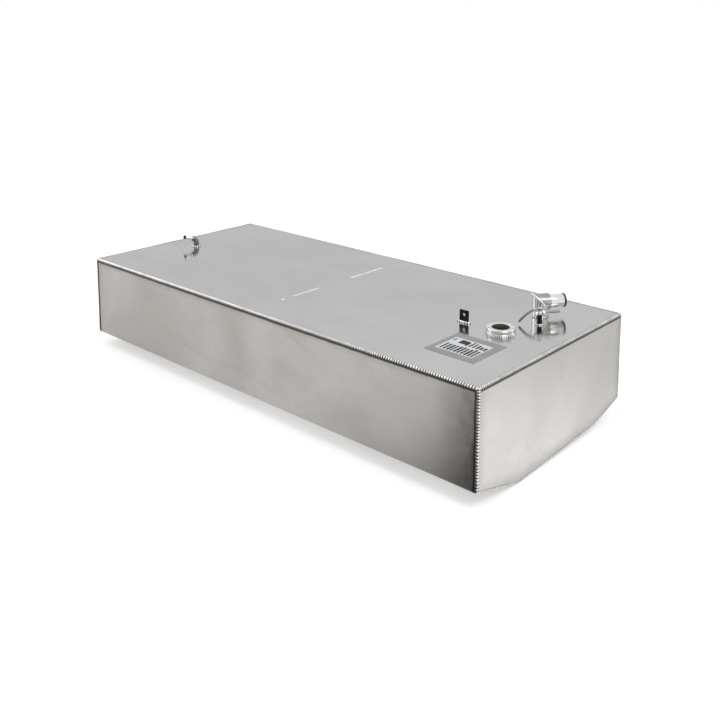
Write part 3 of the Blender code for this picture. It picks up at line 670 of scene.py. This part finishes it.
def build_mitre_bead(corner, radius):
    slant = (OUT - UP).normalized()
    across = UP.cross(OUT)
    normal = (OUT + UP).normalized()
    count = 150
    stations = []
    length = 0.0
    last = None
    for i in range(count):
        angle = 2 * math.pi * i / count
        tall, wide = radius * math.sqrt(2) * math.cos(angle), radius * math.sin(angle)
        ridge = corner + slant * tall + across * wide
        outward = (slant * (math.cos(angle) / math.sqrt(2)) + across * math.sin(angle)).normalized()
        if last is not None:
            length += (ridge - last).length
        last = ridge
        stations.append((ridge - outward * 0.0002, outward, normal, length))
    total = length + (stations[0][0] - stations[-1][0]).length
    bm = bmesh.new()
    add_bead(bm, stations, 0.0027, 0.0, True, total / round(total / 0.0042), 0.12, 37)
    finish_piece("filler_mitre_bead", bm, PLUG_BEAD, "tank", ("filler_mitre_weld",), 60)


# ---------------------------------------------------------------- sender flange


def build_sender_flange():
    low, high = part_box("sender_flange")
    base = Vector(((low.x + high.x) / 2, (low.y + high.y) / 2, TOP))
    radius = (high.x - low.x) / 2
    bore, height = SENDER_BORE, high.z - TOP
    profile = (
        (bore, 0.0),
        (radius, 0.0),
        (radius, 0.0040),
        (radius - 0.0009, 0.0046),
        (radius - 0.0009, 0.0056),
        (radius, 0.0062),
        (radius, height - 0.0012),
        (radius - 0.0012, height),
        (bore + 0.0008, height),
        (bore, height - 0.0008),
    )
    bm = bmesh.new()
    add_turned(bm, softened(profile, 0.0004), base, UP, 96)
    ring = finish_piece("sender_flange_ring", bm, RING, "tank", ("sender_flange",))
    holes = bmesh.new()
    rod = (
        (0.0023, height - 0.010),
        (0.0023, height - 0.0006),
        (0.0026, height + 0.0001),
        (0.0026, height + 0.002),
    )
    for i in range(SENDER_BOLTS):
        out = heading(2 * math.pi * i / SENDER_BOLTS + math.pi / 2)
        foot = base + out * (SENDER_BOLT_CIRCLE / 2)
        add_solid_turned(holes, rod, foot, UP, 24)
    carve(ring, holes)
    ring_weld("sender_flange_bead", base, UP, radius, 0.0032, "sender_flange_weld", 41)


def carve(piece, holes):
    """Cuts holes out of a piece for good, and leaves no cutter behind."""
    bmesh.ops.recalc_face_normals(holes, faces=holes.faces)
    mesh = bpy.data.meshes.new("holes")
    holes.to_mesh(mesh)
    holes.free()
    cutter = bpy.data.objects.new("holes", mesh)
    bpy.context.scene.collection.objects.link(cutter)
    modifier = piece.modifiers.new("holes", "BOOLEAN")
    modifier.operation = "DIFFERENCE"
    modifier.object = cutter
    bpy.context.view_layer.update()
    graph = bpy.context.evaluated_depsgraph_get()
    result = bpy.data.meshes.new_from_object(piece.evaluated_get(graph))
    piece.modifiers.clear()
    piece.data = result
    result.shade_smooth()
    result.set_sharp_from_angle(angle=math.radians(38))
    bpy.data.objects.remove(cutter)


# ---------------------------------------------------------------- pick-up and tap


def build_pickup():
    centre = node_centre("pickup_riser")
    base = Vector((centre.x, centre.y, TOP))
    radius, bore = 0.0055, 0.0035
    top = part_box("pickup_riser")[1].z - TOP
    turned("pickup_riser_pipe", ((radius, -0.001), (radius, top), (bore, top), (bore, -0.001)),
           base, UP, DARK_METAL, "tank", ("pickup_riser",), count=48)
    turned("pickup_bung_ring", ((0.0080, -0.008), (0.0080, 0.003), (radius, 0.003), (radius, -0.008)),
           base, UP, PIPE, "tank", ("pickup_bung",), count=48)
    ring_weld("pickup_bung_bead", base, UP, 0.0080, 0.0036, "pickup_bung_weld", 43)


def tap_fitting(name, profile, origin, direction, look, node, soft, count, solid=False):
    """A turned piece of the tap's fixed part. A count of six makes its outside a hexagon."""
    turned(name, profile, origin, direction, look, "tank", (node,),
           soft, count, solid)


def build_tap_body(base, low, high):
    body = (
        (0.0052, low),
        (0.0060, low + 0.0012),
        (0.0060, high - 0.0008),
        (0.0054, high),
        (0.0040, high),
        (0.0040, low + 0.002),
        (0.0035, low + 0.002),
        (0.0035, low),
    )
    tap_fitting("tap_body_shell", body, base, UP, BRIGHT, "tap_body", 0.0004, 48)


def build_tap_outlet(port):
    """The union nut and the hose tail that it holds."""
    nut = (
        (0.0050, 0.0058),
        (0.0058, 0.0068),
        (0.0058, 0.0110),
        (0.0049, 0.0122),
        (0.0030, 0.0122),
        (0.0030, 0.0058),
    )
    tap_fitting("tap_union_hex", nut, port, OUT, BRIGHT, "tap_union_nut", 0.0003, 6)
    end = 0.047
    neck, barb, bore = 0.0026, 0.0034, 0.0018
    tail = (
        (neck, 0.006),
        (neck, end - 0.0165),
        (0.0031, end - 0.012),
        (neck, end - 0.0116),
        (barb, end - 0.0062),
        (neck, end - 0.0058),
        (0.0030, end - 0.0016),
        (0.0024, end),
        (bore, end),
        (bore, 0.006),
    )
    tap_fitting("tap_tail_pipe", tail, port, OUT, GREY_PIPE, "tap_hose_tail", 0.0002, 32)


def build_tap_cap(port):
    cap = (
        (0.0044, 0.0058),
        (0.0049, 0.0076),
        (0.0046, 0.0100),
        (0.0036, 0.0118),
        (0.0020, 0.0128),
        (0.0007, 0.0131),
    )
    centre = port - UP * 0.0008
    tap_fitting("tap_cap_dome", cap, centre, -OUT, BRIGHT, "tap_end_cap", 0.0006, 32, solid=True)


def build_tap_gland(base, high):
    gland = (
        (0.0060, high + 0.0002),
        (0.0060, high + 0.0016),
        (0.0050, high + 0.0023),
        (0.0026, high + 0.0023),
        (0.0026, high + 0.0002),
    )
    tap_fitting("tap_gland_hex", gland, base, UP, BRIGHT, "tap_gland_nut", 0.0002, 6)


def build_tap():
    centre = node_centre("pickup_riser")
    base = Vector((centre.x, centre.y, TOP))
    port = Vector((centre.x, centre.y, node_centre("tap_union_nut").z))
    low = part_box("tap_body")[0].z - TOP
    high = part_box("tap_body")[1].z - TOP
    build_tap_body(base, low, high)
    build_tap_outlet(port)
    build_tap_cap(port)
    build_tap_gland(base, high)


def add_lever_arm(bm, base, rise):
    """A round arm that leaves the hub level and droops to the tip."""
    out = heading(LEVER_HEADING)
    across = UP.cross(out)
    steps, root, reach = 40, 0.0030, LEVER_REACH - 0.0002
    droop = (rise - LEVER_TIP_HEIGHT) / LEVER_REACH ** 2
    rings = []
    for i in range(steps + 1):
        r = root + (reach - root) * i / steps
        slope = -2 * droop * r
        normal = (UP - out * slope).normalized()
        middle = base + out * r + UP * (rise - droop * r * r)
        wide = 0.0027 * min(1.0, 0.4 + 0.055 * i)
        left = (steps - i) / 3
        if left < 1:
            wide *= math.sqrt(max(0.02, 1 - (1 - left) ** 2))
        rings.append(add_ring(bm, middle, across, normal, wide, 24))
    for first, second in zip(rings, rings[1:]):
        bridge(bm, first, second)
    bm.faces.new(rings[0])
    bm.faces.new(rings[-1])


def build_lever():
    """The drooping arm, its hub and its nut, which turn with the plug."""
    centre = node_centre("tap_plug")
    base = Vector((centre.x, centre.y, TOP))
    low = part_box("tap_lever_nut")[0].z - TOP
    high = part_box("tap_lever_nut")[1].z - TOP
    nut = (
        (0.0042, low),
        (0.0047, low + 0.0005),
        (0.0047, high - 0.0006),
        (0.0041, high),
        (0.0025, high),
        (0.0025, low),
    )
    turned("tap_lever_hex", nut, base, UP, BRIGHT, "lever",
           ("tap_lever_nut",), 0.0002, 6)
    hub_low = low - 0.0034
    hub = ((0.0052, hub_low), (0.0052, low - 0.0003), (0.0025, low - 0.0003), (0.0025, hub_low))
    bm = bmesh.new()
    add_turned(bm, softened(hub, 0.0005), base, UP, 48)
    add_lever_arm(bm, base, low - 0.0012)
    finish_piece("tap_lever_arm", bm, GREY_PIPE, "lever", ("tap_lever",))


# ---------------------------------------------------------------- vent


def vent_path(out):
    """The elbow's middle line: a (place, angle) at each of its rings."""
    steps = 18
    path = [(-UP * 0.006, 0.0)]
    for i in range(steps + 1):
        angle = VENT_SWEEP * i / steps
        over, rise = VENT_BEND * (1 - math.cos(angle)), VENT_TURN_Z + VENT_BEND * math.sin(angle)
        path.append((out * over + UP * rise, angle))
    return path


def build_vent_elbow(base, out, path, radius, bore):
    across = UP.cross(out)
    bm = bmesh.new()
    layers = []
    for r in (radius, bore):
        rings = []
        for place, angle in path:
            normal = UP * math.sin(angle) - out * math.cos(angle)
            rings.append(add_ring(bm, base + place, across, normal, r, 48))
        layers.append(rings)
        for first, second in zip(rings, rings[1:]):
            bridge(bm, first, second)
    bridge(bm, layers[0][0], layers[1][0])
    bridge(bm, layers[0][-1], layers[1][-1])
    finish_piece("vent_elbow_pipe", bm, GREY_PIPE, "tank", ("vent_elbow",))


def build_vent_tail(start, run):
    """The bright tail, and a dark piece that lines its bore, painted shade inside the pipe, and makes a dark
    lip around its open end.
    """
    tail = (
        (0.0068, 0.0013),
        (0.0068, 0.0042),
        (0.0046, 0.0049),
        (0.0046, 0.0180),
        (0.0052, 0.0192),
        (0.0037, 0.0194),
        (0.0037, 0.0013),
    )
    turned("vent_tail_pipe", tail, start, run, BRIGHT, "tank",
           ("vent_hose_tail",), 0.0003, 48)
    # painted shade: the dark piece lines the tail's bore
    lip = (
        (0.0036, 0.0020),
        (0.0036, 0.0195),
        (0.0053, 0.0196),
        (0.0054, 0.0248),
        (0.0047, 0.0262),
        (0.0033, 0.0262),
        (0.0033, 0.0020),
    )
    turned("vent_tail_lip_bore_shade", lip, start, run, DARK_METAL, "tank", (), 0.0001, 36)


def build_vent():
    low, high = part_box("vent_base_weld")
    base = Vector(((low.x + high.x) / 2, (low.y + high.y) / 2, TOP))
    out = -OUT
    radius, bore = 0.0075, 0.0045
    path = vent_path(out)
    bend_end = path[-1][0]
    run = out * math.sin(VENT_SWEEP) + UP * math.cos(VENT_SWEEP)
    path.append((bend_end + run * 0.0012, VENT_SWEEP))
    build_vent_elbow(base, out, path, radius, bore)
    build_vent_tail(base + bend_end, run)
    ring_weld("vent_base_bead", base, UP, radius, 0.0058, "vent_base_weld", 47)


# ---------------------------------------------------------------- earth tab and label


def add_block(bm, low, high):
    corners = []
    for z in (low[2], high[2]):
        for x, y in ((low[0], low[1]), (high[0], low[1]), (high[0], high[1]), (low[0], high[1])):
            corners.append(bm.verts.new((x, y, z)))
    for face in ((0, 3, 2, 1), (4, 5, 6, 7), (0, 1, 5, 4), (1, 2, 6, 5), (2, 3, 7, 6), (3, 0, 4, 7)):
        bm.faces.new([corners[i] for i in face])


def tab_weld_stations(middle, span, deep):
    """Stations once round the tab's foot, on a long rounded loop, and the loop's length."""
    count = 110
    stations = []
    length = 0.0
    last = None
    for i in range(count):
        angle = 2 * math.pi * i / count
        c, s = math.cos(angle), math.sin(angle)
        x = math.copysign(abs(c) ** 0.35, c) * span
        y = math.copysign(abs(s) ** 0.9, s) * deep
        point = Vector((middle.x + x, middle.y + y, TOP + 0.0016))
        out = Vector((c * 0.6, s, 0)).normalized()
        if last is not None:
            length += (point - last).length
        last = point
        stations.append((point, out, UP, length))
    return stations, length


def build_tab_plate(low, high):
    """The upright plate with its corners and rims eased, and its hole."""
    foot = TOP - 0.0005
    corners = ((low.x, foot), (high.x, foot), (high.x, high.z), (low.x, high.z))
    outline = softened(corners, 0.0016, 5)
    middle = Vector(((low.x + high.x) / 2, (TOP + high.z) / 2))
    bm = bmesh.new()
    rows = []
    for y, shrink in ((low.y, 0.0003), (low.y + 0.0003, 0.0), (high.y - 0.0003, 0.0), (high.y, 0.0003)):
        row = []
        for a, b in outline:
            point = Vector((a, b))
            point = point - (point - middle).normalized() * shrink
            row.append(bm.verts.new((point.x, y, point.y)))
        rows.append(row)
    for first, second in zip(rows, rows[1:]):
        bridge(bm, first, second)
    bm.faces.new(rows[0])
    bm.faces.new(rows[-1])
    tab = finish_piece("earth_tab_plate", bm, DARK_METAL, "tank", ("earth_tab",), 30)
    hole = bmesh.new()
    rod = ((0.0035, -0.01), (0.0035, 0.01))
    centre = Vector(((low.x + high.x) / 2, (low.y + high.y) / 2, TOP + 0.0175))
    add_solid_turned(hole, rod, centre, (0, 1, 0), 48)
    carve(tab, hole)


def build_earth_tab():
    low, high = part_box("earth_tab")
    build_tab_plate(low, high)
    half = (high.x - low.x) / 2
    stations, length = tab_weld_stations(node_centre("earth_tab"), half + 0.0022, 0.0034)
    bead = bmesh.new()
    add_bead(bead, stations, 0.0034, math.pi / 4, True, length / round(length / 0.0046), 0.16, 53)
    finish_piece("earth_tab_bead", bead, WELD, "tank", ("earth_tab_weld",), 60)


def build_label():
    """A matt film with an inner panel and generic rows of print, none of it lettering."""
    low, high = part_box("data_label")
    film = bmesh.new()
    outline = softened(((low.x, low.y), (high.x, low.y), (high.x, high.y), (low.x, high.y)), 0.003, 5)
    base, face = TOP + 0.00005, TOP + 0.00030
    rows = [[film.verts.new((a, b, z)) for a, b in outline] for z in (base, face)]
    bridge(film, rows[0], rows[1])
    film.faces.new(rows[0])
    film.faces.new(rows[1])
    finish_piece("label_film_sheet", film, FILM, "tank", ("data_label",))
    panel_low = Vector((low.x + 0.013, low.y + 0.0215))
    panel_high = Vector((high.x - 0.019, high.y - 0.0225))
    panel = bmesh.new()
    add_block(panel, (panel_low.x, panel_low.y, face - 0.0001), (panel_high.x, panel_high.y, face + 0.00008))
    finish_piece("label_white_panel", panel, PAPER, "tank")
    ink = bmesh.new()
    rng = random.Random(8)
    width, height = panel_high.x - panel_low.x, panel_high.y - panel_low.y

    def bar(u, thick, start, stop):
        x = panel_low.x + width * u
        y = panel_low.y
        add_block(ink, (x, y + height * start, face), (x + thick, y + height * stop, face + 0.00014))

    rows = 10
    for row in range(rows):
        u = 0.07 + 0.84 * row / (rows - 1)
        bar(u, rng.choice((0.0044, 0.0052, 0.0060)), 0.05, rng.uniform(0.46, 0.58))
        if row > 3:
            bar(u, rng.choice((0.0044, 0.0056)), 0.61, rng.uniform(0.80, 0.97))
    bar(0.06, 0.0034, 0.72, 0.90)
    bar(0.23, width * 0.22, 0.66, 0.92)
    finish_piece("label_print", ink, INK, "tank")


# ---------------------------------------------------------------- studio


def card(name, corners, ramp_axis, near, far):
    """A studio card that only shows in reflections. Its glow runs along one axis from near to
    far, each a (place, strength)."""
    mesh = bpy.data.meshes.new(name)
    mesh.from_pydata(corners, [], [(0, 1, 2, 3)])
    piece = bpy.data.objects.new(name, mesh)
    bpy.context.scene.collection.objects.link(piece)
    look = bpy.data.materials.new(name)
    look.use_nodes = True
    nodes, links = look.node_tree.nodes, look.node_tree.links
    nodes.clear()
    place = nodes.new("ShaderNodeTexCoord")
    parts = nodes.new("ShaderNodeSeparateXYZ")
    ramp = nodes.new("ShaderNodeMapRange")
    ramp.interpolation_type = "SMOOTHSTEP"
    ramp.inputs["From Min"].default_value = near[0]
    ramp.inputs["From Max"].default_value = far[0]
    ramp.inputs["To Min"].default_value = near[1]
    ramp.inputs["To Max"].default_value = far[1]
    glow = nodes.new("ShaderNodeEmission")
    out = nodes.new("ShaderNodeOutputMaterial")
    links.new(place.outputs["Object"], parts.inputs["Vector"])
    links.new(parts.outputs[ramp_axis], ramp.inputs["Value"])
    links.new(ramp.outputs["Result"], glow.inputs["Strength"])
    links.new(glow.outputs[0], out.inputs[0])
    mesh.materials.append(look)
    piece.visible_camera = False
    piece.visible_diffuse = False
    piece.visible_shadow = False
    return piece


def build_cards():
    # a dark flag behind the camera draws the dark lines in the polished fittings
    flag = [(0.9, -3.3, 0.05), (3.3, -1.4, 0.05), (3.3, -1.4, 0.62), (0.9, -3.3, 0.62)]
    card("dark_flag", flag, "Z", (0.45, 0.03), (0.62, 0.30))
    # two bright cards, high on the left and at the back, draw the shine along the beads
    glow = [(-2.9, -1.6, 1.7), (-2.3, 1.4, 1.7), (-2.3, 1.4, 2.8), (-2.9, -1.6, 2.8)]
    card("left_glow", glow, "Z", (1.7, 2.0), (2.8, 2.6))
    glow = [(0.7, 2.5, 1.4), (2.9, 2.3, 1.4), (2.9, 2.3, 2.4), (0.7, 2.5, 2.4)]
    card("back_glow", glow, "Z", (1.4, 2.0), (2.4, 2.6))
    # a strip on the floor shades the near wall towards its right end
    strip = [(0.1, -0.98, 0.002), (1.2, -0.98, 0.002), (1.2, -0.30, 0.002), (0.1, -0.30, 0.002)]
    card("front_strip", strip, "X", (0.26, 1.0), (0.62, 0.16))
    # and one shades the end plate towards the back
    strip = [(0.66, -0.60, 0.002), (1.7, -0.60, 0.002), (1.7, 1.2, 0.002), (0.66, 1.2, 0.002)]
    card("end_strip", strip, "Y", (-0.10, 1.30), (0.70, 0.84))
    # the far side of the room is a little darker low down, which the top plate mirrors
    sky = [(-5.2, 0.6, 0.3), (-0.2, 5.2, 0.3), (-0.2, 5.2, 3.2), (-5.2, 0.6, 3.2)]
    card("far_screen", sky, "Z", (0.9, 0.80), (2.6, 1.02))


def build_floor():
    half = 14.0
    floor_mesh = bpy.data.meshes.new("studio_floor")
    corners = [(-half, -half, 0), (half, -half, 0), (half, half, 0), (-half, half, 0)]
    floor_mesh.from_pydata(corners, [], [(0, 1, 2, 3)])
    floor = bpy.data.objects.new("studio_floor", floor_mesh)
    bpy.context.scene.collection.objects.link(floor)
    look = Look("studio_floor", 0.0, 0.2)
    tone = look.noise(0.7, 2.0, 0.5)
    look.colour(look.mix(tone, (0.56, 0.56, 0.56), (0.58, 0.58, 0.58)))
    look.shader.inputs["Roughness"].default_value = 0.9
    look.shader.inputs["Emission Color"].default_value = (1.0, 1.0, 1.0, 1.0)
    look.shader.inputs["Emission Strength"].default_value = 0.47
    floor_mesh.materials.append(look.material)


def build_world():
    world = bpy.data.worlds.new("studio")
    world.use_nodes = True
    background = world.node_tree.nodes["Background"]
    background.inputs["Color"].default_value = (1.0, 1.0, 1.0, 1.0)
    background.inputs["Strength"].default_value = 1.0
    bpy.context.scene.world = world


def build_lights():
    for name, spot, aim, size, power in (
        ("key", (2.4, -0.6, 2.8), (0.3, 0.0, 0.2), 1.6, 40),
        ("fill", (-2.8, -1.6, 2.4), (-0.2, 0.0, 0.1), 2.2, 18),
    ):
        data = bpy.data.lights.new(name, "AREA")
        data.size = size
        data.energy = power
        light = bpy.data.objects.new(name, data)
        light.location = spot
        light.rotation_euler = (Vector(aim) - Vector(spot)).to_track_quat("-Z", "Y").to_euler()
        bpy.context.scene.collection.objects.link(light)


def build_studio():
    build_floor()
    build_world()
    build_lights()
    build_cards()


def build_camera():
    data = bpy.data.cameras.new("camera")
    data.lens = 45.47
    data.sensor_width = 36.0
    data.shift_y = -0.30
    data.clip_start, data.clip_end = 0.05, 60.0
    camera = bpy.data.objects.new("camera", data)
    azimuth, elevation, roll = math.radians(42.396), math.radians(8.618), math.radians(0.071)
    level = math.cos(elevation)
    back = Vector((math.sin(azimuth) * level, -math.cos(azimuth) * level, math.sin(elevation)))
    turn = (-back).to_track_quat("-Z", "Y").to_matrix()
    camera.rotation_euler = (turn @ Matrix.Rotation(roll, 3, "Z")).to_euler()
    camera.location = (1.5286, -1.5775, 0.9278)
    bpy.context.scene.collection.objects.link(camera)
    bpy.context.scene.camera = camera


def main():
    bpy.context.scene.view_settings.view_transform = "Standard"
    for node, look in (
        ("top_plate", TOP_SHEET),
        ("body_wrap", SIDE_SHEET_SHADED),
        ("left_end_plate", END_SHEET_LIT),
        ("right_end_plate", END_SHEET_LIT),
        ("center_baffle", INNER_SHEET),
        ("pickup_dip_tube", PIPE),
        ("pickup_strainer", PIPE),
        ("tap_plug", BRIGHT),
    ):
        wear(node, look)
    build_long_seams()
    build_cross_seams()
    build_end_seams()
    build_plug_welds()
    build_filler()
    build_sender_flange()
    build_pickup()
    build_tap()
    build_lever()
    build_vent()
    build_earth_tab()
    build_label()
    build_studio()
    build_camera()


main()
bpy.context.view_layer.update()
